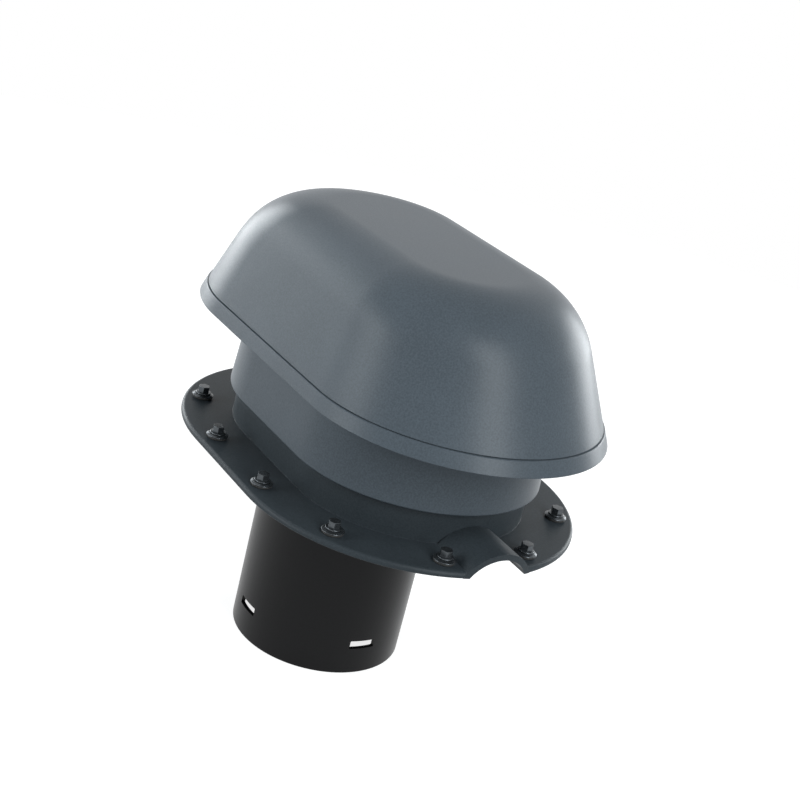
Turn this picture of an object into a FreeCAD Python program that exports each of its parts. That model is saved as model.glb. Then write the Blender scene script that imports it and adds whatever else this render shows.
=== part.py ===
"""Low roof vent with a 110 mm duct pipe, for sheet roofs.

Frame: the origin is where the pipe's axis meets the roof sheet, under the flange.
+Z points up along the pipe, +X down the roof slope, towards the long front of the hood.
Lengths are millimetres and angles are degrees.
"""
import FreeCAD, Part
import math
import os

import Sketcher
from FreeCAD import Vector

DIMENSIONS = {
    # duct pipe
    "pipe_diameter": 110.0,
    "pipe_wall": 2.7,
    "pipe_drop": 131.0,
    "pipe_root_step": 0.8,
    "pipe_lip_width": 5.5,
    "pipe_lip_thickness": 3.0,
    "slot_count": 4,
    "slot_width": 17.5,
    "slot_height": 5.5,
    "slot_lift": 18.0,
    # base moulding: flange, riser, deck and pipe socket
    "base_front_centre": 53.5,
    "base_back_centre": 17.5,
    "flange_width": 32.0,
    "flange_thickness": 3.5,
    "flange_edge_bevel": 1.8,
    "riser_radius": 73.5,
    "riser_wall": 3.0,
    "root_bevel": 1.8,
    "deck_top": 44.0,
    "deck_thickness": 6.0,
    "socket_wall": 8.0,
    "socket_bottom": 14.0,
    "socket_gap": 0.3,
    # drain tunnel across the front of the flange
    "tunnel_width": 37.5,
    "tunnel_height": 11.0,
    "tunnel_wall": 3.6,
    # lip seal in the socket
    "seal_height": 8.0,
    "seal_lift": 8.0,
    "seal_thickness": 3.0,
    "seal_gap": 0.3,
    # flange screws
    "screw_edge": 11.5,
    "screw_near_angle": 17.3,
    "screw_far_angle": 56.3,
    "screw_side_inset": 4.8,
    "screw_shank": 4.2,
    "screw_hole_gap": 0.3,
    "screw_across_flats": 6.5,
    "screw_head": 4.8,
    "screw_head_bevel": 0.5,
    "washer_diameter": 13.4,
    "washer_thickness": 1.2,
    "washer_gap": 0.3,
    "rubber_diameter": 12.6,
    "rubber_thickness": 1.6,
    # gasket in the flange's underside
    "gasket_width": 7.0,
    "gasket_depth": 1.5,
    "gasket_edge": 19.0,
    "gasket_gap": 0.3,
    "gasket_tunnel_gap": 8.0,
    # weather collar
    "collar_gap": 2.7,
    "collar_draft": 4.0,
    "collar_wall": 2.8,
    "collar_bottom": 23.9,
    "collar_top": 98.0,
    "collar_edge_bevel": 0.8,
    "collar_deck": 3.0,
    # posts that carry the hood
    "post_front": 80.0,
    "post_back": 54.0,
    "post_side": 30.0,
    "post_radius": 6.5,
    "post_top": 118.0,
    "post_bore": 4.6,
    "post_cap": 4.0,
    "hood_screw_length": 16.0,
    "hood_screw_shank": 4.0,
    "hood_screw_across_flats": 7.0,
    "hood_screw_head": 2.8,
    "hood_screw_gap": 0.3,
    # hood
    "hood_front_shift": 22.5,
    "hood_back_shift": 32.0,
    "hood_stand": 10.3,
    "hood_bottom": 76.0,
    "hood_top": 146.0,
    "hood_side_draft": 19.0,
    "hood_side_round": 43.0,
    "hood_front_draft": 28.0,
    "hood_front_round": 58.0,
    "hood_back_draft": 23.5,
    "hood_back_round": 69.0,
    "hood_wall": 3.0,
    # rim ring under the hood
    "rim_stand": 0.75,
    "rim_bottom": 67.3,
    "rim_groove": 0.5,
    "rim_step": 1.2,
    "rim_wall": 2.8,
    "rim_ledge": 3.0,
    "rim_tongue": 6.0,
    "rim_tongue_wall": 2.2,
    "rim_tongue_gap": 0.4,
    "rim_edge_bevel": 0.5,
}

# each shell stands off the one inside it
FOLLOWING = {
    "flange_radius": "riser_radius + flange_width",
    "collar_radius": "riser_radius + collar_gap + collar_wall",
    "hood_radius": "collar_radius + hood_stand",
    "hood_front_centre": "base_front_centre + hood_front_shift",
    "hood_back_centre": "base_back_centre + hood_back_shift",
}

doc = FreeCAD.newDocument("roof_vent")
dims = doc.addObject("Spreadsheet::Sheet", "dims")
cells = {alias: str(size) for alias, size in DIMENSIONS.items()}
cells.update({alias: f"={formula}" for alias, formula in FOLLOWING.items()})
for row, (alias, content) in enumerate(cells.items(), start=1):
    dims.set(f"A{row}", alias.replace("_", " "))
    dims.set(f"B{row}", content)
    dims.setAlias(f"B{row}", alias)
doc.recompute()


def number(expression):
    """The present value of an expression on the sheet."""
    result = dims.evalExpression(str(expression))
    return float(getattr(result, "Value", result))


def bind(item, name, expression):
    """Drive one property by an expression on the sheet."""
    item.setExpression(name, str(expression))


def new_body(label):
    """An empty body named after its node."""
    body = doc.addObject("PartDesign::Body", label)
    body.Label = label
    body.AllowCompound = True
    return body


def new_sketch(body, name, height="0", role="XY_Plane"):
    """A sketch on one of the body's own planes, lifted along that plane's normal."""
    sketch = body.newObject("Sketcher::SketchObject", name)
    plane = next(item for item in body.Origin.OriginFeatures if item.Role == role)
    sketch.AttachmentSupport = [(plane, "")]
    sketch.MapMode = "FlatFace"
    bind(sketch, ".AttachmentOffset.Base.z", height)
    return sketch


def constrain(sketch, name, expression, *reference):
    """One named driving constraint, bound to an expression."""
    kind, *places = reference
    index = sketch.addConstraint(Sketcher.Constraint(kind, *places, number(expression)))
    sketch.renameConstraint(index, name)
    bind(sketch, f"Constraints.{name}", expression)


def add_stadium(sketch, radius, front, back, tag=""):
    """A stadium: two round ends centred on X at front and -back, joined by straight sides."""
    size, ahead, behind = number(radius), number(front), number(back)
    quarter = math.pi / 2
    front_circle = Part.Circle(Vector(ahead, 0, 0), Vector(0, 0, 1), size)
    back_circle = Part.Circle(Vector(-behind, 0, 0), Vector(0, 0, 1), size)
    front_arc = sketch.addGeometry(Part.ArcOfCircle(front_circle, -quarter, quarter))
    back_arc = sketch.addGeometry(Part.ArcOfCircle(back_circle, quarter, 3 * quarter))
    left = sketch.addGeometry(Part.LineSegment(Vector(ahead, size, 0), Vector(-behind, size, 0)))
    right = sketch.addGeometry(Part.LineSegment(Vector(-behind, -size, 0), Vector(ahead, -size, 0)))
    joints = [(front_arc, 2, left, 1), (left, 2, back_arc, 1), (back_arc, 2, right, 1), (right, 2, front_arc, 1)]
    for joint in joints:
        sketch.addConstraint(Sketcher.Constraint("Tangent", *joint))
    for arc in (front_arc, back_arc):
        sketch.addConstraint(Sketcher.Constraint("PointOnObject", arc, 3, -1))
    sketch.addConstraint(Sketcher.Constraint("Equal", front_arc, back_arc))
    constrain(sketch, f"radius{tag}", radius, "Radius", front_arc)
    constrain(sketch, f"ahead{tag}", front, "DistanceX", -1, 1, front_arc, 3)
    constrain(sketch, f"behind{tag}", back, "DistanceX", back_arc, 3, -1, 1)


def add_circle(sketch, name, radius, across="0", along="0"):
    """A circle of one radius centred at two expressions."""
    centre = Vector(number(across), number(along), 0)
    circle = sketch.addGeometry(Part.Circle(centre, Vector(0, 0, 1), number(radius)))
    constrain(sketch, f"{name}_radius", radius, "Radius", circle)
    constrain(sketch, f"{name}_x", across, "DistanceX", -1, 1, circle, 3)
    constrain(sketch, f"{name}_y", along, "DistanceY", -1, 1, circle, 3)


def add_hexagon(sketch, name, across_flats, across, along):
    """A hexagon with a corner towards +X of its centre."""
    reach = f"{across_flats} / 2 / cos(30 deg)"
    corners = []
    for step in range(6):
        x = f"({across}) + {reach} * cos({60 * step} deg)"
        y = f"({along}) + {reach} * sin({60 * step} deg)"
        corners.append((x, y))
    add_polygon(sketch, name, corners)


def add_polygon(sketch, name, corners):
    """A closed outline through corners given as pairs of expressions."""
    points = [Vector(number(x), number(y), 0) for x, y in corners]
    lines = []
    for start, end in zip(points, points[1:] + points[:1]):
        lines.append(sketch.addGeometry(Part.LineSegment(start, end)))
    for line, following in zip(lines, lines[1:] + lines[:1]):
        sketch.addConstraint(Sketcher.Constraint("Coincident", line, 2, following, 1))
    for step, (line, (x, y)) in enumerate(zip(lines, corners)):
        constrain(sketch, f"{name}_x{step}", x, "DistanceX", -1, 1, line, 1)
        constrain(sketch, f"{name}_y{step}", y, "DistanceY", -1, 1, line, 1)


def finish(body, feature):
    """Recompute after a feature and hide nothing behind a failure."""
    doc.recompute()
    if "Invalid" in feature.State or feature.Shape.isNull():
        raise RuntimeError(f"{body.Label}: {feature.Name} failed")
    return feature


def pad(body, name, sketch, length, down=False, draft=None):
    """Add material from a sketch, upwards unless down is set."""
    feature = body.newObject("PartDesign::Pad", name)
    feature.Profile = sketch
    feature.Reversed = down
    bind(feature, "Length", length)
    if draft is not None:
        bind(feature, "TaperAngle", draft)
    sketch.Visibility = False
    return finish(body, feature)


def pocket(body, name, sketch, length, up=True, draft=None):
    """Cut from a sketch, upwards unless up is cleared, and check that it cut."""
    before = body.Shape.Volume
    feature = body.newObject("PartDesign::Pocket", name)
    feature.Profile = sketch
    feature.Reversed = up
    bind(feature, "Length", length)
    if draft is not None:
        bind(feature, "TaperAngle", draft)
    sketch.Visibility = False
    finish(body, feature)
    if body.Shape.Volume >= before:
        raise RuntimeError(f"{body.Label}: {name} cut nothing")
    return feature


def revolve(body, name, corners, cut=False):
    """Turn an outline of radius and height pairs about the pipe's axis."""
    sketch = new_sketch(body, f"{name}_outline", role="XZ_Plane")
    add_polygon(sketch, "corner", corners)
    kind = "PartDesign::Groove" if cut else "PartDesign::Revolution"
    feature = body.newObject(kind, name)
    feature.Profile = sketch
    feature.ReferenceAxis = (sketch, ["V_Axis"])
    feature.Angle = 360
    return finish(body, feature)


def chamfer(body, name, size, chosen):
    """Bevel the edges of the body that a test picks."""
    base = body.Tip
    edges = [f"Edge{index}" for index, edge in enumerate(base.Shape.Edges, start=1) if chosen(edge)]
    feature = body.newObject("PartDesign::Chamfer", name)
    feature.Base = (base, edges)
    bind(feature, "Size", size)
    return finish(body, feature)


def level(edge, height):
    """True for an edge that lies flat at a height."""
    box = edge.BoundBox
    return abs(box.ZMin - height) < 0.01 and abs(box.ZMax - height) < 0.01


def from_spine(edge, front, back):
    """The distance of an edge's middle from the straight line between two centres on X."""
    middle = edge.valueAt((edge.FirstParameter + edge.LastParameter) / 2)
    along = min(max(middle.x, -number(back)), number(front))
    return math.hypot(middle.x - along, middle.y)


BASE_CENTRES = ("dims.base_front_centre", "dims.base_back_centre")
SCREW_PATH = "(dims.flange_radius - dims.screw_edge)"


def flange_screw_spots():
    """Four flange screws round each end of the flange and two along each side."""
    spots = []
    for end, centre in (("1", BASE_CENTRES[0]), ("-1", f"-{BASE_CENTRES[1]}")):
        for side in ("1", "-1"):
            for angle in ("dims.screw_near_angle", "dims.screw_far_angle"):
                x = f"{centre} + {end} * {SCREW_PATH} * cos({angle} * 1 deg)"
                y = f"{side} * {SCREW_PATH} * sin({angle} * 1 deg)"
                spots.append((x, y))
            spots.append((f"{centre} - {end} * dims.screw_side_inset", f"{side} * {SCREW_PATH}"))
    return spots


def corner_spots(front, back, side):
    """Four spots, two ahead of the pipe's axis and two behind it."""
    return [(x, y) for x in (front, f"-{back}") for y in (side, f"-{side}")]


FLANGE_SPOTS = flange_screw_spots()
POST_SPOTS = corner_spots("dims.post_front", "dims.post_back", "dims.post_side")


def spot_sketch(body, name, height, spots, radius):
    """One circle at each of several spots."""
    sketch = new_sketch(body, name, height)
    for index, (x, y) in enumerate(spots):
        add_circle(sketch, f"spot{index}", radius, x, y)
    return sketch


def spot_pad(body, name, height, spots, radius, length, down=False):
    """A round boss at each of several spots."""
    return pad(body, name, spot_sketch(body, f"{name}_circles", height, spots, radius), length, down)


def spot_pocket(body, name, height, spots, radius, length):
    """A round hole, cut upwards, at each of several spots."""
    return pocket(body, name, spot_sketch(body, f"{name}_circles", height, spots, radius), length)


# duct pipe
PIPE_RADIUS = "(dims.pipe_diameter / 2)"
PIPE_BORE = "(dims.pipe_diameter / 2 - dims.pipe_wall)"
PIPE_ROOT = "(dims.pipe_diameter / 2 + dims.pipe_root_step)"


def build_duct_pipe():
    """The pipe hangs by its lip in the deck, is thicker inside the base, and has slots near its free end."""
    body = new_body("duct_pipe")
    lip = f"({PIPE_RADIUS} + dims.pipe_lip_width)"
    under_lip = "dims.deck_top - dims.pipe_lip_thickness"
    lead_in = f"{PIPE_RADIUS} - dims.pipe_wall / 3"
    outline = [
        (PIPE_BORE, "-dims.pipe_drop"),
        (lead_in, "-dims.pipe_drop"),
        (PIPE_RADIUS, "-dims.pipe_drop + dims.pipe_wall / 3"),
        (PIPE_RADIUS, "0"),
        (PIPE_ROOT, "0"),
        (PIPE_ROOT, under_lip),
        (lip, under_lip),
        (lip, "dims.deck_top"),
        (PIPE_BORE, "dims.deck_top"),
    ]
    revolve(body, "pipe_wall_turned", outline)
    sketch = new_sketch(body, "slot_outline", role="YZ_Plane")
    low = "-dims.pipe_drop + dims.slot_lift"
    high = f"{low} + dims.slot_height"
    near, far = "-dims.slot_width / 2", "dims.slot_width / 2"
    add_polygon(sketch, "slot", [(near, low), (far, low), (far, high), (near, high)])
    slot = pocket(body, "slot_cut", sketch, "dims.pipe_diameter")
    pattern = body.newObject("PartDesign::PolarPattern", "slot_pattern")
    pattern.Originals = [slot]
    pattern.Axis = (next(item for item in body.Origin.OriginFeatures if item.Role == "Z_Axis"), [""])
    pattern.Angle = 360
    bind(pattern, "Occurrences", "dims.slot_count")
    body.Tip = pattern
    finish(body, pattern)
    return body


# base moulding
SOCKET_BORE = f"({PIPE_ROOT} + dims.socket_gap)"
SEAL_BOTTOM = "(dims.socket_bottom + dims.seal_lift)"
SEAL_RECESS = f"({PIPE_ROOT} + dims.seal_gap + dims.seal_thickness + dims.seal_gap)"
GASKET_MIDDLE = "(dims.flange_radius - dims.gasket_edge - dims.gasket_width / 2)"
TUNNEL_HALF = "(dims.tunnel_width / 2)"
TUNNEL_RADIUS = f"(({TUNNEL_HALF} ^ 2 + dims.tunnel_height ^ 2) / (2 * dims.tunnel_height))"
TUNNEL_CENTRE = f"(dims.tunnel_height - {TUNNEL_RADIUS})"


def tunnel_sketch(body, name, radius):
    """The tunnel's round arch, as a segment of a circle cut off at the flange's underside."""
    size, centre = number(radius), number(TUNNEL_CENTRE)
    start = math.asin(-centre / size)
    sketch = new_sketch(body, name, role="YZ_Plane")
    circle = Part.Circle(Vector(0, centre, 0), Vector(0, 0, 1), size)
    arc = sketch.addGeometry(Part.ArcOfCircle(circle, start, math.pi - start))
    half = size * math.cos(start)
    chord = sketch.addGeometry(Part.LineSegment(Vector(-half, 0, 0), Vector(half, 0, 0)))
    sketch.addConstraint(Sketcher.Constraint("Coincident", arc, 2, chord, 1))
    sketch.addConstraint(Sketcher.Constraint("Coincident", chord, 2, arc, 1))
    sketch.addConstraint(Sketcher.Constraint("PointOnObject", arc, 3, -2))
    sketch.addConstraint(Sketcher.Constraint("PointOnObject", chord, 1, -1))
    sketch.addConstraint(Sketcher.Constraint("PointOnObject", chord, 2, -1))
    constrain(sketch, "arch_radius", radius, "Radius", arc)
    constrain(sketch, "arch_centre", f"-{TUNNEL_CENTRE}", "DistanceY", arc, 3, -1, 1)
    return sketch


def build_base_flange():
    """Flange, drain tunnel, riser, deck and pipe socket, moulded as one hat-shaped piece."""
    body = new_body("base_flange")
    flange_reach = f"({BASE_CENTRES[0]} + dims.flange_radius)"

    outline = new_sketch(body, "flange_outline")
    add_stadium(outline, "dims.flange_radius", *BASE_CENTRES)
    pad(body, "flange_plate", outline, "dims.flange_thickness")
    edge_height = number("dims.flange_thickness")
    chamfer(body, "flange_edge", "dims.flange_edge_bevel", lambda edge: level(edge, edge_height))

    riser = new_sketch(body, "riser_outline")
    add_stadium(riser, "dims.riser_radius", *BASE_CENTRES)
    pad(body, "riser_block", riser, "dims.deck_top")

    def at_foot(edge):
        """The riser's foot on the flange."""
        return level(edge, edge_height) and from_spine(edge, *BASE_CENTRES) < number("dims.riser_radius + 1")

    chamfer(body, "riser_foot", "dims.root_bevel", at_foot)

    arch = tunnel_sketch(body, "tunnel_crown_outline", f"({TUNNEL_RADIUS} + dims.tunnel_wall)")
    pad(body, "tunnel_crown", arch, flange_reach)
    trim = new_sketch(body, "trim_outline")
    far = f"(2 * {flange_reach})"
    add_polygon(trim, "frame", [(f"-{far}", f"-{far}"), (far, f"-{far}"), (far, far), (f"-{far}", far)])
    add_stadium(trim, "dims.flange_radius", *BASE_CENTRES)
    pocket(body, "tunnel_trim", trim, "dims.deck_top")

    hollow = new_sketch(body, "hollow_outline")
    add_stadium(hollow, "dims.riser_radius - dims.riser_wall", *BASE_CENTRES)
    pocket(body, "hollow", hollow, "dims.deck_top - dims.deck_thickness")
    bore = tunnel_sketch(body, "tunnel_bore_outline", TUNNEL_RADIUS)
    pocket(body, "tunnel_bore", bore, flange_reach)

    socket = new_sketch(body, "socket_outline", "dims.socket_bottom")
    add_circle(socket, "socket", f"{SOCKET_BORE} + dims.socket_wall")
    pad(body, "socket", socket, "dims.deck_top - dims.socket_bottom")
    lip_bore = f"({PIPE_RADIUS} + dims.pipe_lip_width + dims.socket_gap)"
    under_lip = "dims.deck_top - dims.pipe_lip_thickness"
    channel = [
        ("0", "dims.socket_bottom"),
        (SOCKET_BORE, "dims.socket_bottom"),
        (SOCKET_BORE, SEAL_BOTTOM),
        (SEAL_RECESS, SEAL_BOTTOM),
        (SEAL_RECESS, f"{SEAL_BOTTOM} + dims.seal_height"),
        (SOCKET_BORE, f"{SEAL_BOTTOM} + dims.seal_height"),
        (SOCKET_BORE, under_lip),
        (lip_bore, under_lip),
        (lip_bore, "dims.deck_top"),
        ("0", "dims.deck_top"),
    ]
    revolve(body, "pipe_channel", channel, cut=True)

    hole = "(dims.screw_shank / 2 + dims.screw_hole_gap)"
    spot_pocket(body, "flange_holes", "0", FLANGE_SPOTS, hole, "dims.flange_thickness")
    groove = new_sketch(body, "gasket_groove_outline")
    add_gasket_outline(groove, "0")
    pocket(body, "gasket_groove", groove, "dims.gasket_depth")
    return body


def add_gasket_outline(sketch, inset):
    """A stadium-shaped band that stops each side of the tunnel, made smaller all round by inset."""
    outer = f"({GASKET_MIDDLE} + dims.gasket_width / 2 - {inset})"
    inner = f"({GASKET_MIDDLE} - dims.gasket_width / 2 + {inset})"
    stop = f"({TUNNEL_HALF} + dims.gasket_tunnel_gap + {inset})"
    ahead, behind = (number(item) for item in BASE_CENTRES)
    half = number(stop)
    upright = Vector(0, 0, 1)
    bands = {}
    for name, radius in (("outer", outer), ("inner", inner)):
        size = number(radius)
        turn = math.asin(half / size)
        front = Part.Circle(Vector(ahead, 0, 0), upright, size)
        back = Part.Circle(Vector(-behind, 0, 0), upright, size)
        upper = sketch.addGeometry(Part.ArcOfCircle(front, turn, math.pi / 2))
        left = sketch.addGeometry(Part.LineSegment(Vector(ahead, size, 0), Vector(-behind, size, 0)))
        rear = sketch.addGeometry(Part.ArcOfCircle(back, math.pi / 2, 3 * math.pi / 2))
        right = sketch.addGeometry(Part.LineSegment(Vector(-behind, -size, 0), Vector(ahead, -size, 0)))
        lower = sketch.addGeometry(Part.ArcOfCircle(front, -math.pi / 2, -turn))
        chain = [(upper, 2, left, 1), (left, 2, rear, 1), (rear, 2, right, 1), (right, 2, lower, 1)]
        for joint in chain:
            sketch.addConstraint(Sketcher.Constraint("Tangent", *joint))
        for arc in (upper, rear):
            sketch.addConstraint(Sketcher.Constraint("PointOnObject", arc, 3, -1))
        sketch.addConstraint(Sketcher.Constraint("Equal", upper, rear))
        sketch.addConstraint(Sketcher.Constraint("Coincident", upper, 3, lower, 3))
        constrain(sketch, f"{name}_radius", radius, "Radius", upper)
        constrain(sketch, f"{name}_ahead", BASE_CENTRES[0], "DistanceX", -1, 1, upper, 3)
        constrain(sketch, f"{name}_behind", BASE_CENTRES[1], "DistanceX", rear, 3, -1, 1)
        constrain(sketch, f"{name}_stop_left", stop, "DistanceY", -1, 1, upper, 1)
        constrain(sketch, f"{name}_stop_right", stop, "DistanceY", lower, 2, -1, 1)
        bands[name] = (size * math.cos(turn) + ahead, upper, lower)
    (outer_x, outer_upper, outer_lower), (inner_x, inner_upper, inner_lower) = bands["outer"], bands["inner"]
    ends = ((half, outer_upper, 1, inner_upper, 1), (-half, outer_lower, 2, inner_lower, 2))
    for y, outer_arc, outer_end, inner_arc, inner_end in ends:
        line = sketch.addGeometry(Part.LineSegment(Vector(outer_x, y, 0), Vector(inner_x, y, 0)))
        sketch.addConstraint(Sketcher.Constraint("Coincident", line, 1, outer_arc, outer_end))
        sketch.addConstraint(Sketcher.Constraint("Coincident", line, 2, inner_arc, inner_end))


def build_flange_gasket():
    """A flat rubber strip in the groove under the flange."""
    body = new_body("flange_gasket")
    outline = new_sketch(body, "gasket_outline")
    add_gasket_outline(outline, "dims.gasket_gap")
    pad(body, "gasket_strip", outline, "dims.gasket_depth")
    return body


def build_pipe_seal():
    """A rubber ring in the socket's recess."""
    body = new_body("pipe_seal")
    inner = f"({PIPE_ROOT} + dims.seal_gap)"
    outer = f"({inner} + dims.seal_thickness)"
    top = f"({SEAL_BOTTOM} + dims.seal_height)"
    revolve(body, "seal_ring", [(inner, SEAL_BOTTOM), (outer, SEAL_BOTTOM), (outer, top), (inner, top)])
    return body


# flange screws and their washers
RUBBER_TOP = "(dims.flange_thickness + dims.rubber_thickness)"
WASHER_TOP = f"({RUBBER_TOP} + dims.washer_thickness)"


def hexagon_heads(body, height, spots, across_flats, length, down=False):
    """A hexagon head at each of several spots."""
    sketch = new_sketch(body, "head_outlines", height)
    for index, (x, y) in enumerate(spots):
        add_hexagon(sketch, f"head{index}", across_flats, x, y)
    return pad(body, "heads", sketch, length, down)


def build_flange_screws():
    """Hexagon-headed roofing screws."""
    body = new_body("flange_screws")
    spot_pad(body, "shanks", "0", FLANGE_SPOTS, "dims.screw_shank / 2", WASHER_TOP)
    hexagon_heads(body, WASHER_TOP, FLANGE_SPOTS, "dims.screw_across_flats", "dims.screw_head")
    top = number(f"{WASHER_TOP} + dims.screw_head")
    chamfer(body, "head_bevels", "dims.screw_head_bevel", lambda edge: level(edge, top))
    return body


def ring_group(label, height, outer, thickness):
    """A flat ring round each flange screw."""
    body = new_body(label)
    sketch = spot_sketch(body, "outlines", height, FLANGE_SPOTS, f"{outer} / 2")
    for index, (x, y) in enumerate(FLANGE_SPOTS):
        add_circle(sketch, f"bore{index}", "(dims.screw_shank / 2 + dims.washer_gap)", x, y)
    pad(body, "rings", sketch, thickness)
    return body


def build_screw_washers():
    """Metal washers under the screw heads."""
    return ring_group("screw_washers", RUBBER_TOP, "dims.washer_diameter", "dims.washer_thickness")


def build_screw_seals():
    """Rubber rings bonded under the washers."""
    return ring_group("screw_seals", "dims.flange_thickness", "dims.rubber_diameter", "dims.rubber_thickness")


# weather collar
def collar_radius(height):
    """The collar's outer radius at a height, for its inward draft."""
    return f"(dims.collar_radius - tan(dims.collar_draft * 1 deg) * ({height} - dims.collar_bottom))"


def build_weather_collar():
    """A drafted sleeve over the riser, with a deck inside it and four posts for the hood."""
    body = new_body("weather_collar")
    draft = "-dims.collar_draft"
    deck_under = "dims.deck_top"
    deck_over = "(dims.deck_top + dims.collar_deck)"

    sleeve = new_sketch(body, "sleeve_outline", "dims.collar_bottom")
    add_stadium(sleeve, "dims.collar_radius", *BASE_CENTRES)
    pad(body, "sleeve", sleeve, "dims.collar_top - dims.collar_bottom", draft=draft)
    skirt = new_sketch(body, "skirt_hollow_outline", "dims.collar_bottom")
    add_stadium(skirt, "dims.collar_radius - dims.collar_wall", *BASE_CENTRES)
    pocket(body, "skirt_hollow", skirt, f"{deck_under} - dims.collar_bottom", draft=draft)
    throat = new_sketch(body, "throat_outline", deck_over)
    add_stadium(throat, f"{collar_radius(deck_over)} - dims.collar_wall", *BASE_CENTRES)
    pocket(body, "throat", throat, f"dims.collar_top - {deck_over}", draft=draft)
    top, bottom = number("dims.collar_top"), number("dims.collar_bottom")
    chamfer(body, "sleeve_edges", "dims.collar_edge_bevel", lambda edge: level(edge, top) or level(edge, bottom))

    opening = new_sketch(body, "opening_outline", deck_under)
    add_circle(opening, "opening", PIPE_BORE)
    pocket(body, "opening", opening, "dims.collar_deck")
    spot_pad(body, "posts", deck_under, POST_SPOTS, "dims.post_radius", f"dims.post_top - {deck_under}")
    post_inside = f"dims.post_top - dims.post_cap - {deck_under}"
    spot_pocket(body, "post_hollows", deck_under, POST_SPOTS, "dims.post_bore", post_inside)
    clear = "(dims.hood_screw_shank / 2 + dims.hood_screw_gap)"
    spot_pocket(body, "post_holes", "dims.post_top - dims.post_cap", POST_SPOTS, clear, "dims.post_cap")
    return body


def build_hood_screws():
    """Hexagon-headed screws up through the posts into the hood's bosses."""
    body = new_body("hood_screws")
    head_seat = "(dims.post_top - dims.post_cap)"
    spot_pad(body, "shanks", head_seat, POST_SPOTS, "dims.hood_screw_shank / 2", "dims.hood_screw_length")
    hexagon_heads(body, head_seat, POST_SPOTS, "dims.hood_screw_across_flats", "dims.hood_screw_head", down=True)
    return body


# hood
def hood_reach(side, height, inset="0"):
    """How far the hood reaches at a height, on its side, front or back.

    The wall leans in at a draft and turns into the flat top through one round. An inset moves the whole
    profile inwards and downwards by a wall.
    """
    start = {
        "side": "dims.hood_radius",
        "front": "dims.hood_front_centre + dims.hood_radius",
        "back": "dims.hood_back_centre + dims.hood_radius",
    }[side]
    draft = f"(dims.hood_{side}_draft * 1 deg)"
    turn = f"(dims.hood_{side}_round - {inset})"
    axis_height = f"(dims.hood_top - {inset} - {turn})"
    turn_height = f"({axis_height} + {turn} * sin({draft}))"
    foot = f"({start} - {inset} / cos({draft}))"
    wall = f"({foot} - tan({draft}) * (({height}) - dims.hood_bottom))"
    turn_foot = f"({foot} - tan({draft}) * ({turn_height} - dims.hood_bottom) - {turn} * cos({draft}))"
    crown = f"({turn_foot} + sqrt(abs({turn} ^ 2 - (({height}) - {axis_height}) ^ 2)))"
    return f"(({height}) < {turn_height} ? {wall} : {crown})"


def hood_turn(side, inset="0"):
    """The height at which a wall of the hood starts to turn into its top."""
    turn = f"(dims.hood_{side}_round - {inset})"
    return f"(dims.hood_top - {inset} - {turn} * (1 - sin(dims.hood_{side}_draft * 1 deg)))"


def hood_levels(turns, inset="0"):
    """Section heights: the foot, the back wall's turn, then equal turns of the side's round to the top."""
    low, high = hood_turn("back", inset), hood_turn("side", inset)
    levels = ["dims.hood_bottom", low, f"(({low} + {high}) / 2)"]
    turn = f"(dims.hood_side_round - {inset})"
    for step in range(turns + 1):
        angle = f"((dims.hood_side_draft + {step} / {turns} * (90 - dims.hood_side_draft)) * 1 deg)"
        levels.append(f"(dims.hood_top - {inset} - {turn} * (1 - sin({angle})))")
    return [(height, inset) for height in levels]


def hood_loft(body, name, kind, levels):
    """A loft through the hood's level sections, each given by its height and its inset."""
    sketches = []
    for index, (height, inset) in enumerate(levels):
        side, front, back = (hood_reach(where, height, inset) for where in ("side", "front", "back"))
        sketch = new_sketch(body, f"{name}_section{index}", height)
        add_stadium(sketch, side, f"({front} - {side})", f"({back} - {side})")
        sketch.Visibility = False
        sketches.append(sketch)
    loft = body.newObject(kind, name)
    loft.Profile = sketches[0]
    loft.Sections = sketches[1:]
    loft.Ruled = True
    return finish(body, loft)


def build_hood_shell():
    """The hood: a thin moulded dome with four screw bosses under its flat top."""
    body = new_body("hood_shell")
    hood_loft(body, "dome", "PartDesign::AdditiveLoft", hood_levels(7))
    hood_loft(body, "hollow", "PartDesign::SubtractiveLoft", hood_levels(4, "dims.hood_wall"))
    boss_length = "dims.hood_top - dims.hood_wall / 2 - dims.post_top"
    spot_pad(body, "bosses", "dims.post_top", POST_SPOTS, "dims.post_radius", boss_length)
    depth = "dims.hood_screw_length - dims.post_cap + dims.hood_screw_gap"
    clear = "(dims.hood_screw_shank / 2 + dims.hood_screw_gap)"
    spot_pocket(body, "boss_holes", "dims.post_top", POST_SPOTS, clear, depth)
    return body


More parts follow.
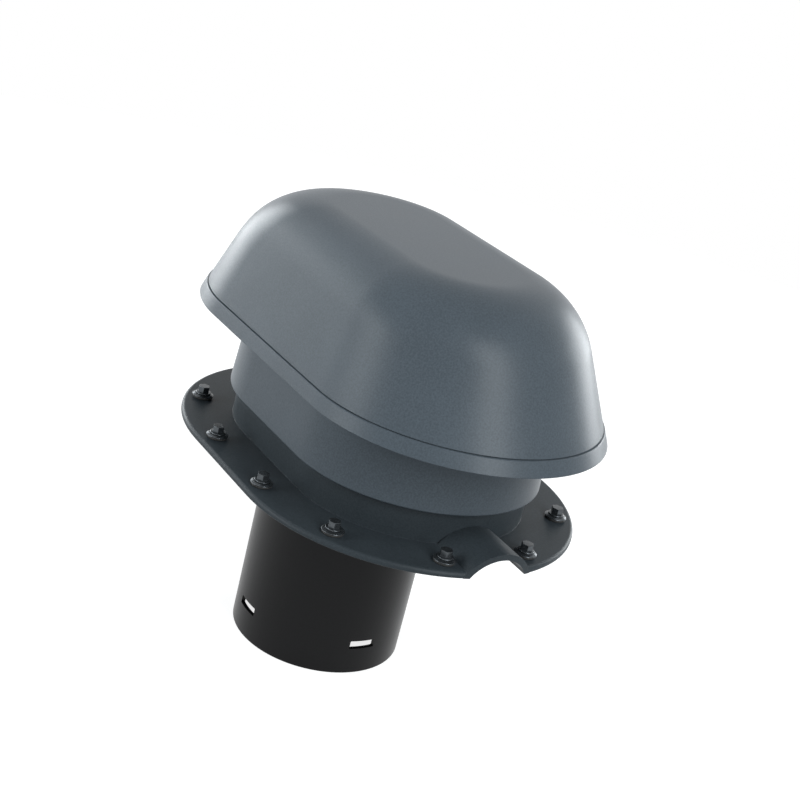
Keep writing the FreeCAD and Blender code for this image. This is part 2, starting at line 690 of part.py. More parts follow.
# rim ring
def build_hood_rim():
    """The rim ring: a band that leans as the hood's walls do, a little proud of them, and plugs into its foot."""
    body = new_body("hood_rim")
    centres = ("dims.hood_front_centre", "dims.hood_back_centre")
    band_top = "(dims.hood_bottom - dims.rim_groove)"
    ledge_under = "(dims.hood_bottom - dims.rim_ledge)"
    plug_top = "(dims.hood_bottom + dims.rim_tongue)"
    plug_inset = "(dims.hood_wall + dims.rim_tongue_gap)"
    throat_inset = f"({plug_inset} + dims.rim_tongue_wall)"
    under_inset = "(dims.rim_wall - dims.rim_stand)"
    bevel = "dims.rim_edge_bevel"
    band = [
        ("dims.rim_bottom", f"({bevel} - dims.rim_stand)"),
        (f"(dims.rim_bottom + {bevel})", "(-dims.rim_stand)"),
        (f"({band_top} - {bevel})", "(-dims.rim_stand)"),
        (band_top, f"({bevel} - dims.rim_stand)"),
    ]
    plug = [("dims.hood_bottom", plug_inset), (plug_top, plug_inset)]
    hollow = [("dims.rim_bottom", under_inset), (ledge_under, under_inset)]
    throat = [(ledge_under, throat_inset), (plug_top, throat_inset)]

    hood_loft(body, "band", "PartDesign::AdditiveLoft", band)
    step = new_sketch(body, "step_outline", band_top)
    add_stadium(step, "dims.hood_radius - dims.rim_step", *centres)
    pad(body, "step", step, "dims.rim_groove")
    hood_loft(body, "plug", "PartDesign::AdditiveLoft", plug)
    hood_loft(body, "under_hollow", "PartDesign::SubtractiveLoft", hollow)
    hood_loft(body, "throat", "PartDesign::SubtractiveLoft", throat)
    return body


BUILDERS = [
    build_duct_pipe,
    build_base_flange,
    build_flange_gasket,
    build_pipe_seal,
    build_flange_screws,
    build_screw_washers,
    build_screw_seals,
    build_weather_collar,
    build_hood_screws,
    build_hood_shell,
    build_hood_rim,
]


def main():
    """Build every piece, check it and write it."""
    bodies = [build() for build in BUILDERS]
    doc.recompute()
    for item in doc.Objects:
        if "Invalid" in item.State or "Error" in item.State:
            raise RuntimeError(f"{item.Name} is {item.State}")
    os.makedirs("parts", exist_ok=True)
    for body in bodies:
        if body.Shape.isNull() or not body.Shape.isValid():
            raise RuntimeError(f"{body.Label} has no valid shape")
        body.Shape.exportStep(f"parts/{body.Label}.step")
        print(body.Label, len(body.Shape.Solids), round(body.Shape.Volume), body.Shape.BoundBox)


main()
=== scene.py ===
from math import cos, pi, radians, sin, sqrt, tan

import bmesh
import bpy
from mathutils import Matrix, Vector


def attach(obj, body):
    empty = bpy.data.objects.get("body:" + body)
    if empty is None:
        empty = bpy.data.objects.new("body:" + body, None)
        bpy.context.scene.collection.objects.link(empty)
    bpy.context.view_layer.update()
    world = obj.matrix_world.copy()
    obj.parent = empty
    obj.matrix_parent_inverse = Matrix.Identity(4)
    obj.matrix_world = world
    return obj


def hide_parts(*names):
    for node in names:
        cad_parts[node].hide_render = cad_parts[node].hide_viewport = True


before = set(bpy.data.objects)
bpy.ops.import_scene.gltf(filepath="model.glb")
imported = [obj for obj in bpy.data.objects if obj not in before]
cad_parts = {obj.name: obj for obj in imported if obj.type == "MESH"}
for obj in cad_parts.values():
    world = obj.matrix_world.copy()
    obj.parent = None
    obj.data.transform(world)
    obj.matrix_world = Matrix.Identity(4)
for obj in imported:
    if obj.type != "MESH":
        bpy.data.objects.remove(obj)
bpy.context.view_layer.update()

bpy.ops.object.select_all(action="DESELECT")

# sizes, in millimetres and degrees
MM = 0.001

HOOD_FRONT_CENTRE = 76.0
HOOD_BACK_CENTRE = 49.5
HOOD_RADIUS = 89.3
HOOD_BOTTOM = 76.0
HOOD_TOP = 146.0
HOOD_SIDE_DRAFT = 19.0
HOOD_SIDE_ROUND = 43.0
HOOD_FRONT_DRAFT = 28.0
HOOD_FRONT_ROUND = 58.0
HOOD_BACK_DRAFT = 23.5
HOOD_BACK_ROUND = 69.0
HOOD_WALL = 3.0
HOOD_FOOT_ROUND = 0.4
HOOD_FOOT_TURN = 0.12

RIM_BOTTOM = 67.3
RIM_GROOVE = 0.38
RIM_STEP = 1.2
RIM_WALL = 2.8
RIM_STAND = 0.65
RIM_LEDGE = 3.0
RIM_TONGUE = 6.0
RIM_TONGUE_WALL = 2.2
RIM_TONGUE_GAP = 0.4
RIM_EDGE_ROUND = 0.5

BASE_FRONT_CENTRE = 53.5
BASE_BACK_CENTRE = 17.5
FLANGE_RADIUS = 105.5
FLANGE_THICKNESS = 3.5
FLANGE_EDGE_ROUND = 2.4
FLANGE_FOOT_ROUND = 0.5
RISER_RADIUS = 73.5
RISER_WALL = 3.0
RISER_ROOT_ROUND = 0.2
RISER_EDGE_ROUND = 1.0
DECK_TOP = 44.0
DECK_THICKNESS = 6.0
SOCKET_WALL = 8.0
SOCKET_BOTTOM = 14.0
SOCKET_GAP = 0.3
SEAL_LIFT = 8.0
SEAL_HEIGHT = 8.0
SEAL_THICKNESS = 3.0
SEAL_GAP = 0.3

TUNNEL_WIDTH = 37.5
TUNNEL_HEIGHT = 11.0
TUNNEL_WALL = 3.6

COLLAR_RADIUS = 79.0
COLLAR_DRAFT = 4.0
COLLAR_WALL = 2.8
COLLAR_BOTTOM = 23.9
COLLAR_TOP = 98.0
COLLAR_EDGE_ROUND = 1.0
COLLAR_DECK = 3.0

POST_FRONT = 80.0
POST_BACK = 54.0
POST_SIDE = 30.0
POST_RADIUS = 6.5
POST_TOP = 118.0
POST_BORE = 4.6
POST_CAP = 4.0
POST_LIFT = 0.3
POST_EDGE_ROUND = 0.3
HOOD_SCREW_SHANK = 4.0
HOOD_SCREW_GAP = 0.3

PIPE_DIAMETER = 110.0
PIPE_WALL = 2.7
PIPE_DROP = 131.0
PIPE_ROOT_STEP = 0.8
PIPE_LIP_WIDTH = 5.5
PIPE_LIP_THICKNESS = 3.0
PIPE_INNER_ROUND = 0.6
PIPE_OUTER_ROUND = 0.9
SLOT_WIDTH = 17.5
SLOT_HEIGHT = 5.5
SLOT_LIFT = 18.0
SLOT_EDGE_ROUND = 0.5

SCREW_EDGE = 11.5
SCREW_NEAR_ANGLE = 17.3
SCREW_FAR_ANGLE = 56.3
SCREW_SIDE_INSET = 4.8
SCREW_SHANK = 4.2
SCREW_HOLE_GAP = 0.3
SCREW_ACROSS_FLATS = 6.5
SCREW_HEAD = 4.8
SCREW_HEAD_ROUND = 0.3
SCREW_COLLAR = 9.6
SCREW_COLLAR_THICKNESS = 0.9
SCREW_COLLAR_FOOT_ROUND = 0.25
SCREW_COLLAR_ROUND = 0.3
SCREW_COLLAR_RISE = 0.3
SCREW_COLLAR_TUCK = 0.2
SCREW_CORE = 0.5

WASHER_DIAMETER = 13.4
WASHER_THICKNESS = 1.2
WASHER_DISH = 0.5
WASHER_GAP = 0.3
WASHER_RIM_WIDTH = 1.6
WASHER_RIM_LIFT = 0.25
WASHER_RIM_HEIGHT = 0.45
WASHER_RIM_FOOT_ROUND = 0.25
WASHER_RIM_ROUND = 0.3
WASHER_SHOULDER = 1.5
WASHER_SHOULDER_DROP = 0.05
WASHER_SHOULDER_ROUND = 0.6
WASHER_HOLE_ROUND = 0.2
RUBBER_DIAMETER = 12.6
RUBBER_THICKNESS = 1.6
RUBBER_ROUND = 0.7

# sizes worked out from the others
BASE_CENTRES = (BASE_FRONT_CENTRE, BASE_BACK_CENTRE)
POST_SPOTS = [(x, y) for x in (POST_FRONT, -POST_BACK) for y in (POST_SIDE, -POST_SIDE)]
HOOD_SCREW_HOLE = HOOD_SCREW_SHANK / 2 + HOOD_SCREW_GAP
PIPE_RADIUS = PIPE_DIAMETER / 2
PIPE_BORE = PIPE_RADIUS - PIPE_WALL
PIPE_ROOT = PIPE_RADIUS + PIPE_ROOT_STEP
PIPE_LIP = PIPE_RADIUS + PIPE_LIP_WIDTH
PIPE_LIP_UNDER = DECK_TOP - PIPE_LIP_THICKNESS
SOCKET_BORE = PIPE_ROOT + SOCKET_GAP
TUNNEL_HALF = TUNNEL_WIDTH / 2
TUNNEL_RADIUS = (TUNNEL_HALF ** 2 + TUNNEL_HEIGHT ** 2) / (2 * TUNNEL_HEIGHT)
TUNNEL_CENTRE = TUNNEL_HEIGHT - TUNNEL_RADIUS
RUBBER_TOP = FLANGE_THICKNESS + RUBBER_THICKNESS
WASHER_TOP = RUBBER_TOP + WASHER_THICKNESS

# how finely the shapes are made
ARC_STEPS = 64
STRAIGHT_STEPS = 5
ROUND_STEPS = 5
HOOD_OUTSIDE_STEPS = 30
HOOD_INSIDE_STEPS = 14
PIPE_STEPS = 96
POST_STEPS = 16
WASHER_STEPS = 24
SCREW_COLLAR_STEPS = 20
SCREW_HEAD_ROUND_STEPS = 2
SLOT_ROUND_STEPS = 3
CROWN_ROUND_STEPS = 6
TUNNEL_SIDES = 160
BORE_SIDES = 32
HOLE_SIDES = 24
CAP_INSET = 1.2
WELD = 0.004
HAIR = 0.001
NO_CHANGE = 1e-9
FRONT_END = 1
BACK_END = 2

# how far the cutting tools reach past what they cut
HOLE_PAST = 5.0
CROWN_PAST = 20.0
TUNNEL_PAST = 30.0
TUNNEL_BACK = 10.0

# angles above which an edge stays sharp
SMOOTH_ANGLE = 32
BASE_SMOOTH_ANGLE = 28
SCREW_SMOOTH_ANGLE = 30
CROWN_EDGE_ANGLE = 60

# camera
CAMERA_AZIMUTH = -36.378
CAMERA_ELEVATION = 20.830
CAMERA_ROLL = 14.309
CAMERA_DISTANCE = 929.82
CAMERA_LENS = 66.637
CAMERA_SENSOR = 36
CAMERA_SLIDE = (-25.037, -27.051)
CAMERA_BASE_HEIGHT = 3.5


# modelling helpers
def only(piece):
    """Select one object and nothing else."""
    bpy.ops.object.select_all(action="DESELECT")
    piece.select_set(True)
    bpy.context.view_layer.objects.active = piece
    return piece


def settle(piece):
    """Put an object's place, turn and size into its mesh."""
    only(piece)
    bpy.ops.object.transform_apply(location=True, rotation=True, scale=True)
    return piece


def pick(piece, kind, wanted):
    """Select, in edit mode, the vertices, edges or faces that pass a test."""
    mesh = bmesh.from_edit_mesh(piece.data)
    for group in (mesh.verts, mesh.edges, mesh.faces):
        for item in group:
            item.select_set(False)
    for item in getattr(mesh, kind):
        if wanted(item):
            item.select_set(True)
    mesh.select_flush_mode()
    bmesh.update_edit_mesh(piece.data)


def mark(piece, name, number):
    """Write a number on the selected vertices. Extruding passes it on."""
    mesh = bmesh.from_edit_mesh(piece.data)
    layer = mesh.verts.layers.int.get(name) or mesh.verts.layers.int.new(name)
    for vertex in mesh.verts:
        if vertex.select:
            vertex[layer] = number
    bmesh.update_edit_mesh(piece.data)


def pick_marked(piece, **numbers):
    """Select the vertices that carry all of these numbers."""
    mesh = bmesh.from_edit_mesh(piece.data)
    layers = {mesh.verts.layers.int[name]: number for name, number in numbers.items()}
    pick(piece, "verts", lambda vertex: all(vertex[layer] == number for layer, number in layers.items()))


def place(piece, name):
    """Name a finished piece and let it ride on the body."""
    settle(piece)
    piece.name = name
    piece.data.name = name
    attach(piece, "root")
    return piece


def modify(piece, kind, **settings):
    """Add a modifier, set it and apply it."""
    only(piece)
    modifier = piece.modifiers.new(kind.title(), kind)
    for setting, value in settings.items():
        setattr(modifier, setting, value)
    bpy.ops.object.modifier_apply(modifier=modifier.name)
    return piece


def carve(piece, tool, operation="DIFFERENCE"):
    """Cut one mesh with another, or add it, and remove the tool."""
    modify(piece, "BOOLEAN", operation=operation, solver="EXACT", object=tool)
    bpy.data.objects.remove(tool, do_unlink=True)
    return piece


def smooth(piece, angle=SMOOTH_ANGLE):
    """Shade smooth up to an angle, with flat stretches kept flat."""
    only(piece)
    bpy.ops.object.shade_smooth_by_angle(angle=radians(angle))
    return modify(piece, "WEIGHTED_NORMAL", mode="FACE_AREA", keep_sharp=True)


def join(piece, *others):
    """Join meshes into the first one."""
    only(piece)
    for other in others:
        other.select_set(True)
    bpy.ops.object.join()
    return piece


def copy_to(piece, x, y):
    """A copy with a mesh of its own, moved across."""
    double = piece.copy()
    double.data = piece.data.copy()
    bpy.context.collection.objects.link(double)
    double.location = (x * MM, y * MM, 0)
    return settle(double)


def at_spots(model, spots):
    """A copy of a model at each of several spots, joined into one mesh."""
    copies = [copy_to(model, x, y) for x, y in spots]
    bpy.data.objects.remove(model, do_unlink=True)
    return join(*copies)


def round_corner(before, corner, after, radius):
    """Points of a round at a corner of a profile, from one side to the other."""
    before, corner, after = Vector(before), Vector(corner), Vector(after)
    first, second = (before - corner).normalized(), (after - corner).normalized()
    half = first.angle(second) / 2
    reach = radius / tan(half)
    centre = corner + (first + second).normalized() * radius / sin(half)
    start, end = corner + first * reach - centre, corner + second * reach - centre
    turn = start.angle_signed(end)
    points = []
    for step in range(ROUND_STEPS + 1):
        spun = start.copy()
        spun.rotate(Matrix.Rotation(-turn * step / ROUND_STEPS, 2))
        points.append(tuple(centre + spun))
    return points


def outline(corners):
    """A profile's points. Each corner is (reach, height) or (reach, height, round)."""
    points = []
    count = len(corners)
    for index, corner in enumerate(corners):
        if len(corner) == 2:
            points.append(corner)
        else:
            before, after = corners[index - 1][:2], corners[(index + 1) % count][:2]
            points += round_corner(before, corner[:2], after, corner[2])
    return points


def draw_ring(steps, height, radius, front, back):
    """The first ring: a circle, or two half circles that are set apart and joined by straights."""
    bpy.ops.mesh.primitive_circle_add(vertices=2 * steps, radius=radius * MM)
    piece = bpy.context.object
    bpy.ops.object.mode_set(mode="EDIT")
    bpy.ops.mesh.select_mode(type="EDGE")
    bpy.ops.mesh.select_all(action="SELECT")
    bpy.ops.transform.translate(value=(0, 0, height * MM))
    mark(piece, "ring", 0)
    mark(piece, "end", FRONT_END)
    if front + back == 0:
        bpy.ops.mesh.select_mode(type="VERT")
        bpy.ops.mesh.select_all(action="SELECT")
        return piece
    pick(piece, "edges", lambda edge: edge.verts[0].co.x + edge.verts[1].co.x < 0)
    bpy.ops.mesh.split()
    mark(piece, "end", BACK_END)
    bpy.ops.mesh.select_mode(type="VERT")
    pick_marked(piece, end=BACK_END)
    bpy.ops.transform.translate(value=(-back * MM, 0, 0))
    pick_marked(piece, end=FRONT_END)
    bpy.ops.transform.translate(value=(front * MM, 0, 0))
    for side in (1, -1):
        pick(piece, "verts", lambda vertex: vertex.co.y * side > (radius - HAIR) * MM)
        bpy.ops.mesh.edge_face_add()
    bpy.ops.mesh.select_all(action="SELECT")
    return piece


def joins_ends(edge, end_layer):
    """Whether an edge is one of the straights between the two round ends."""
    first, second = edge.verts
    return first[end_layer] != second[end_layer] and edge.calc_length() > MM


def stacked_rings(levels, steps=ARC_STEPS, caps=()):
    """A surface through rings with two round ends and straight sides.

    Each level is (height, radius, front centre, back centre). Each ring is extruded from the last, sized
    about its two centres and moved with them. Caps are the numbers of the rings that are closed.
    """
    piece = draw_ring(steps, *levels[0])
    height, radius, front, back = levels[0]
    for number, (new_height, new_radius, new_front, new_back) in enumerate(levels[1:], start=1):
        rise = (0, 0, (new_height - height) * MM)
        bpy.ops.mesh.extrude_region_move(TRANSFORM_OT_translate={"value": rise})
        mark(piece, "ring", number)
        factor = new_radius / radius
        for end, centre, new_centre in ((FRONT_END, front, new_front), (BACK_END, -back, -new_back)):
            pick_marked(piece, ring=number, end=end)
            middle = (centre * MM, 0, new_height * MM)
            if abs(factor - 1) > NO_CHANGE:
                bpy.ops.transform.resize(value=(factor, factor, 1), center_override=middle)
            if abs(new_centre - centre) > NO_CHANGE:
                bpy.ops.transform.translate(value=((new_centre - centre) * MM, 0, 0))
        pick_marked(piece, ring=number)
        height, radius, front, back = new_height, new_radius, new_front, new_back
    for number in caps:
        pick_marked(piece, ring=number)
        bpy.ops.mesh.edge_face_add()
        bpy.ops.mesh.inset(thickness=CAP_INSET * MM)
    end_layer = bmesh.from_edit_mesh(piece.data).verts.layers.int["end"]
    pick(piece, "edges", lambda edge: joins_ends(edge, end_layer))
    bpy.ops.mesh.subdivide(number_cuts=STRAIGHT_STEPS - 1)
    bpy.ops.mesh.select_all(action="SELECT")
    bpy.ops.mesh.remove_doubles(threshold=WELD * MM)
    bpy.ops.mesh.select_all(action="SELECT")
    bpy.ops.mesh.normals_make_consistent(inside=False)
    bpy.ops.object.mode_set(mode="OBJECT")
    for name in ("ring", "end"):
        piece.data.attributes.remove(piece.data.attributes[name])
    return piece


def turned(corners, steps):
    """A closed profile of corners, as outline takes them, turned about the upright axis."""
    points = outline(corners)
    levels = [(height, reach, 0, 0) for reach, height in points + points[:1]]
    return stacked_rings(levels, steps=steps)


def turned_block(radius, bottom, top, sides, x=0.0):
    """A plain round block, to add or to cut with."""
    block = stacked_rings([(bottom, radius, 0, 0), (top, radius, 0, 0)], steps=sides // 2, caps=(0, 1))
    block.location = (x * MM, 0, 0)
    return settle(block)


# hood
def hood_reach(start, draft, turn, height, inset):
    """How far the hood's wall stands out at a height: a leaning wall that turns into the flat top."""
    lean = radians(draft)
    turn -= inset
    axis = HOOD_TOP - inset - turn
    turn_height = axis + turn * sin(lean)
    foot = start - inset / cos(lean)
    if height < turn_height:
        return foot - tan(lean) * (height - HOOD_BOTTOM)
    turn_foot = foot - tan(lean) * (turn_height - HOOD_BOTTOM) - turn * cos(lean)
    return turn_foot + sqrt(max(turn ** 2 - (height - axis) ** 2, 0))


def hood_ring(height, inset):
    """The hood's level at a height."""
    side = hood_reach(HOOD_RADIUS, HOOD_SIDE_DRAFT, HOOD_SIDE_ROUND, height, inset)
    front = hood_reach(HOOD_FRONT_CENTRE + HOOD_RADIUS, HOOD_FRONT_DRAFT, HOOD_FRONT_ROUND, height, inset)
    back = hood_reach(HOOD_BACK_CENTRE + HOOD_RADIUS, HOOD_BACK_DRAFT, HOOD_BACK_ROUND, height, inset)
    return (height, side, front - side, back - side)


def hood_heights(inset, steps, foot=0.0):
    """Heights of the hood's levels, close together where the walls turn."""
    turn = HOOD_SIDE_ROUND - inset
    top = HOOD_TOP - inset
    start = HOOD_BOTTOM + foot
    turn_height = top - turn * (1 - sin(radians(HOOD_SIDE_DRAFT)))
    low_steps = steps // 2
    heights = [start + (turn_height - start) * step / low_steps for step in range(low_steps)]
    for step in range(steps + 1):
        angle = radians(HOOD_SIDE_DRAFT + step / steps * (90 - HOOD_SIDE_DRAFT))
        heights.append(top - turn * (1 - sin(angle)))
    return heights


def make_hood_shell():
    """The moulded hood: outside and inside walls, a small round at the foot and four screw bosses."""
    inside_heights = reversed(hood_heights(HOOD_WALL, HOOD_INSIDE_STEPS))
    outside_heights = hood_heights(0, HOOD_OUTSIDE_STEPS, HOOD_FOOT_ROUND)
    foot_turn = hood_ring(HOOD_BOTTOM, HOOD_FOOT_TURN)
    levels = [hood_ring(height, HOOD_WALL) for height in inside_heights]
    levels += [hood_ring(HOOD_BOTTOM, HOOD_FOOT_ROUND), (HOOD_BOTTOM + HOOD_FOOT_TURN, *foot_turn[1:])]
    levels += [hood_ring(height, 0) for height in outside_heights]
    hood = stacked_rings(levels, caps=(0, len(levels) - 1))
    boss_top = HOOD_TOP - HOOD_WALL / 2
    boss = turned(
        [
            (POST_RADIUS, POST_TOP),
            (POST_RADIUS, boss_top),
            (HOOD_SCREW_HOLE, boss_top),
            (HOOD_SCREW_HOLE, POST_TOP),
        ],
        POST_STEPS,
    )
    join(hood, at_spots(boss, POST_SPOTS))
    return smooth(place(hood, "moulded_hood"))


# hood rim
def make_hood_rim():
    """The rim ring: a band that leans as the hood's walls do, and a tongue into the hood."""
    band_top = HOOD_BOTTOM - RIM_GROOVE
    ledge = HOOD_BOTTOM - RIM_LEDGE
    tongue_top = HOOD_BOTTOM + RIM_TONGUE
    under = RIM_WALL - RIM_STAND
    plug = HOOD_WALL + RIM_TONGUE_GAP
    throat = plug + RIM_TONGUE_WALL
    profile = outline(
        [
            (-under, ledge),
            (-under, RIM_BOTTOM, RIM_EDGE_ROUND),
            (RIM_STAND, RIM_BOTTOM, RIM_EDGE_ROUND),
            (RIM_STAND, band_top, RIM_EDGE_ROUND),
            (-RIM_STEP, band_top),
            (-RIM_STEP, HOOD_BOTTOM),
            (-plug, HOOD_BOTTOM),
            (-plug, tongue_top),
            (-throat, tongue_top),
            (-throat, ledge),
        ]
    )
    levels = [hood_ring(height, -stand) for stand, height in profile + profile[:1]]
    return smooth(place(stacked_rings(levels), "rim_ring"))


# weather collar
def make_weather_collar():
    """The drafted sleeve under the hood, its deck with a round opening, and the hood's four posts."""
    lean = tan(radians(COLLAR_DRAFT))
    deck_over = DECK_TOP + COLLAR_DECK

    def wall(height, inset=0.0):
        """The sleeve's reach at a height."""
        return COLLAR_RADIUS - lean * (height - COLLAR_BOTTOM) - inset

    sleeve = outline(
        [
            (wall(DECK_TOP, COLLAR_WALL), DECK_TOP),
            (wall(COLLAR_BOTTOM, COLLAR_WALL), COLLAR_BOTTOM, COLLAR_EDGE_ROUND),
            (wall(COLLAR_BOTTOM), COLLAR_BOTTOM, COLLAR_EDGE_ROUND),
            (wall(COLLAR_TOP), COLLAR_TOP, COLLAR_EDGE_ROUND),
            (wall(COLLAR_TOP, COLLAR_WALL), COLLAR_TOP, COLLAR_EDGE_ROUND),
            (wall(deck_over, COLLAR_WALL), deck_over),
        ]
    )
    levels = [(height, reach, *BASE_CENTRES) for reach, height in sleeve]
    levels += [(deck_over, PIPE_BORE, 0, 0), (DECK_TOP, PIPE_BORE, 0, 0), levels[0]]
    collar = stacked_rings(levels)
    post_foot = DECK_TOP + POST_LIFT
    post = turned(
        [
            (POST_BORE, post_foot),
            (POST_RADIUS, post_foot),
            (POST_RADIUS, POST_TOP, POST_EDGE_ROUND),
            (HOOD_SCREW_HOLE, POST_TOP),
            (HOOD_SCREW_HOLE, POST_TOP - POST_CAP),
            (POST_BORE, POST_TOP - POST_CAP),
        ],
        POST_STEPS,
    )
    bore = turned_block(POST_BORE, DECK_TOP - HOLE_PAST, deck_over + HOLE_PAST, BORE_SIDES)
    carve(collar, at_spots(bore, POST_SPOTS))
    join(collar, at_spots(post, POST_SPOTS))
    return smooth(place(collar, "rain_collar"))


# base moulding
def tunnel_block(radius, start, end):
    """A bar of the tunnel's round section, along the front."""
    bar = turned_block(radius, start, end, TUNNEL_SIDES)
    only(bar)
    bpy.ops.object.mode_set(mode="EDIT")
    bpy.ops.mesh.select_all(action="SELECT")
    bpy.ops.transform.rotate(value=-pi / 2, orient_axis="Y", center_override=(0, 0, 0))
    bpy.ops.transform.translate(value=(0, 0, TUNNEL_CENTRE * MM))
    bpy.ops.object.mode_set(mode="OBJECT")
    return bar


def flange_screw_spots():
    """Four screws round each end of the flange and two along each side."""
    spots = []
    path = FLANGE_RADIUS - SCREW_EDGE
    for end, centre in ((1, BASE_FRONT_CENTRE), (-1, -BASE_BACK_CENTRE)):
        for side in (1, -1):
            for angle in (SCREW_NEAR_ANGLE, SCREW_FAR_ANGLE):
                turn = radians(angle)
                spots.append((centre + end * path * cos(turn), side * path * sin(turn)))
            spots.append((centre - end * SCREW_SIDE_INSET, side * path))
    return spots


def make_base():
    """Flange, riser, deck and pipe socket as one moulding, with the drain tunnel across its front."""
    recess = PIPE_ROOT + SEAL_GAP + SEAL_THICKNESS + SEAL_GAP
    seal_bottom = SOCKET_BOTTOM + SEAL_LIFT
    seal_top = seal_bottom + SEAL_HEIGHT
    lip_bore = PIPE_LIP + SOCKET_GAP
    deck_under = DECK_TOP - DECK_THICKNESS
    hollow = RISER_RADIUS - RISER_WALL
    hat = outline(
        [
            (hollow, deck_under),
            (hollow, 0.0),
            (FLANGE_RADIUS, 0.0, FLANGE_FOOT_ROUND),
            (FLANGE_RADIUS, FLANGE_THICKNESS, FLANGE_EDGE_ROUND),
            (RISER_RADIUS, FLANGE_THICKNESS, RISER_ROOT_ROUND),
            (RISER_RADIUS, DECK_TOP, RISER_EDGE_ROUND),
            (lip_bore, DECK_TOP),
        ]
    )
    socket = [
        (lip_bore, DECK_TOP),
        (lip_bore, PIPE_LIP_UNDER),
        (SOCKET_BORE, PIPE_LIP_UNDER),
        (SOCKET_BORE, seal_top),
        (recess, seal_top),
        (recess, seal_bottom),
        (SOCKET_BORE, seal_bottom),
        (SOCKET_BORE, SOCKET_BOTTOM),
        (SOCKET_BORE + SOCKET_WALL, SOCKET_BOTTOM),
        (SOCKET_BORE + SOCKET_WALL, deck_under),
    ]
    levels = [(height, reach, *BASE_CENTRES) for reach, height in hat[:-1]]
    levels += [(height, reach, 0, 0) for reach, height in socket]
    levels += [levels[0]]
    base = stacked_rings(levels)
    crown_start = RISER_RADIUS + BASE_FRONT_CENTRE - RISER_WALL / 2
    reach = BASE_FRONT_CENTRE + FLANGE_RADIUS
    crown = tunnel_block(TUNNEL_RADIUS + TUNNEL_WALL, crown_start, reach + CROWN_PAST)
    carve(crown, turned_block(FLANGE_RADIUS, 0, DECK_TOP, 2 * ARC_STEPS, x=BASE_FRONT_CENTRE), "INTERSECT")
    crown_edge = {"limit_method": "ANGLE", "angle_limit": radians(CROWN_EDGE_ANGLE)}
    modify(crown, "BEVEL", width=FLANGE_EDGE_ROUND * MM, segments=CROWN_ROUND_STEPS, **crown_edge)
    carve(base, crown, "UNION")
    carve(base, tunnel_block(TUNNEL_RADIUS, crown_start - TUNNEL_BACK, reach + TUNNEL_PAST))
    hole_radius = SCREW_SHANK / 2 + SCREW_HOLE_GAP
    hole = turned_block(hole_radius, -HOLE_PAST, FLANGE_THICKNESS + HOLE_PAST, HOLE_SIDES)
    carve(base, at_spots(hole, flange_screw_spots()))
    return smooth(place(base, "flange_moulding"), BASE_SMOOTH_ANGLE)


# duct pipe
def make_duct_pipe():
    """The pipe, with rounded ends, a thicker root in the base and four slots."""
    profile = [
        (PIPE_BORE, -PIPE_DROP, PIPE_INNER_ROUND),
        (PIPE_RADIUS, -PIPE_DROP, PIPE_OUTER_ROUND),
        (PIPE_RADIUS, 0.0),
        (PIPE_ROOT, 0.0),
        (PIPE_ROOT, PIPE_LIP_UNDER),
        (PIPE_LIP, PIPE_LIP_UNDER),
        (PIPE_LIP, DECK_TOP),
        (PIPE_BORE, DECK_TOP),
    ]
    pipe = turned(profile, PIPE_STEPS)
    middle = (0, 0, (SLOT_LIFT + SLOT_HEIGHT / 2 - PIPE_DROP) * MM)
    across = 2 * PIPE_DIAMETER
    for size_x, size_y in ((across, SLOT_WIDTH), (SLOT_WIDTH, across)):
        size = (size_x * MM, size_y * MM, SLOT_HEIGHT * MM)
        bpy.ops.mesh.primitive_cube_add(size=1, location=middle, scale=size)
        slots = bpy.context.object
        modify(slots, "BEVEL", width=SLOT_EDGE_ROUND * MM, segments=SLOT_ROUND_STEPS, limit_method="ANGLE")
        carve(pipe, slots)
    return smooth(place(pipe, "pipe_spigot"))


# fasteners
def make_screw():
    """One roofing screw: a hexagon head with bevelled edges on a round collar, and its shank."""
    head_radius = SCREW_ACROSS_FLATS / 2 / cos(pi / 6)
    middle = (0, 0, (WASHER_TOP + SCREW_HEAD / 2) * MM)
    bpy.ops.mesh.primitive_cylinder_add(
        vertices=6, radius=head_radius * MM, depth=SCREW_HEAD * MM, location=middle
    )
    hexagon = settle(bpy.context.object)
    rounds = {"width": SCREW_HEAD_ROUND * MM, "segments": SCREW_HEAD_ROUND_STEPS}
    modify(hexagon, "BEVEL", limit_method="ANGLE", **rounds)
    edge = SCREW_COLLAR / 2
    collar_top = WASHER_TOP + SCREW_COLLAR_THICKNESS
    cone_top = collar_top + SCREW_COLLAR_RISE
    collar = turned(
        [
            (SCREW_SHANK / 2, 0.0),
            (SCREW_SHANK / 2, WASHER_TOP),
            (edge, WASHER_TOP, SCREW_COLLAR_FOOT_ROUND),
            (edge, collar_top, SCREW_COLLAR_ROUND),
            (SCREW_ACROSS_FLATS / 2 - SCREW_COLLAR_TUCK, cone_top),
            (SCREW_CORE, cone_top),
            (SCREW_CORE, 0.0),
        ],
        SCREW_COLLAR_STEPS,
    )
    return join(hexagon, collar)


def make_washer():
    """One dished metal washer with a turned-down rim."""
    hole = SCREW_SHANK / 2 + WASHER_GAP
    edge = WASHER_DIAMETER / 2
    return turned(
        [
            (hole, RUBBER_TOP + WASHER_DISH),
            (edge - WASHER_RIM_WIDTH, RUBBER_TOP + WASHER_RIM_LIFT),
            (edge, RUBBER_TOP, WASHER_RIM_FOOT_ROUND),
            (edge, RUBBER_TOP + WASHER_RIM_HEIGHT, WASHER_RIM_ROUND),
            (edge - WASHER_SHOULDER, WASHER_TOP - WASHER_SHOULDER_DROP, WASHER_SHOULDER_ROUND),
            (hole, WASHER_TOP, WASHER_HOLE_ROUND),
        ],
        WASHER_STEPS,
    )


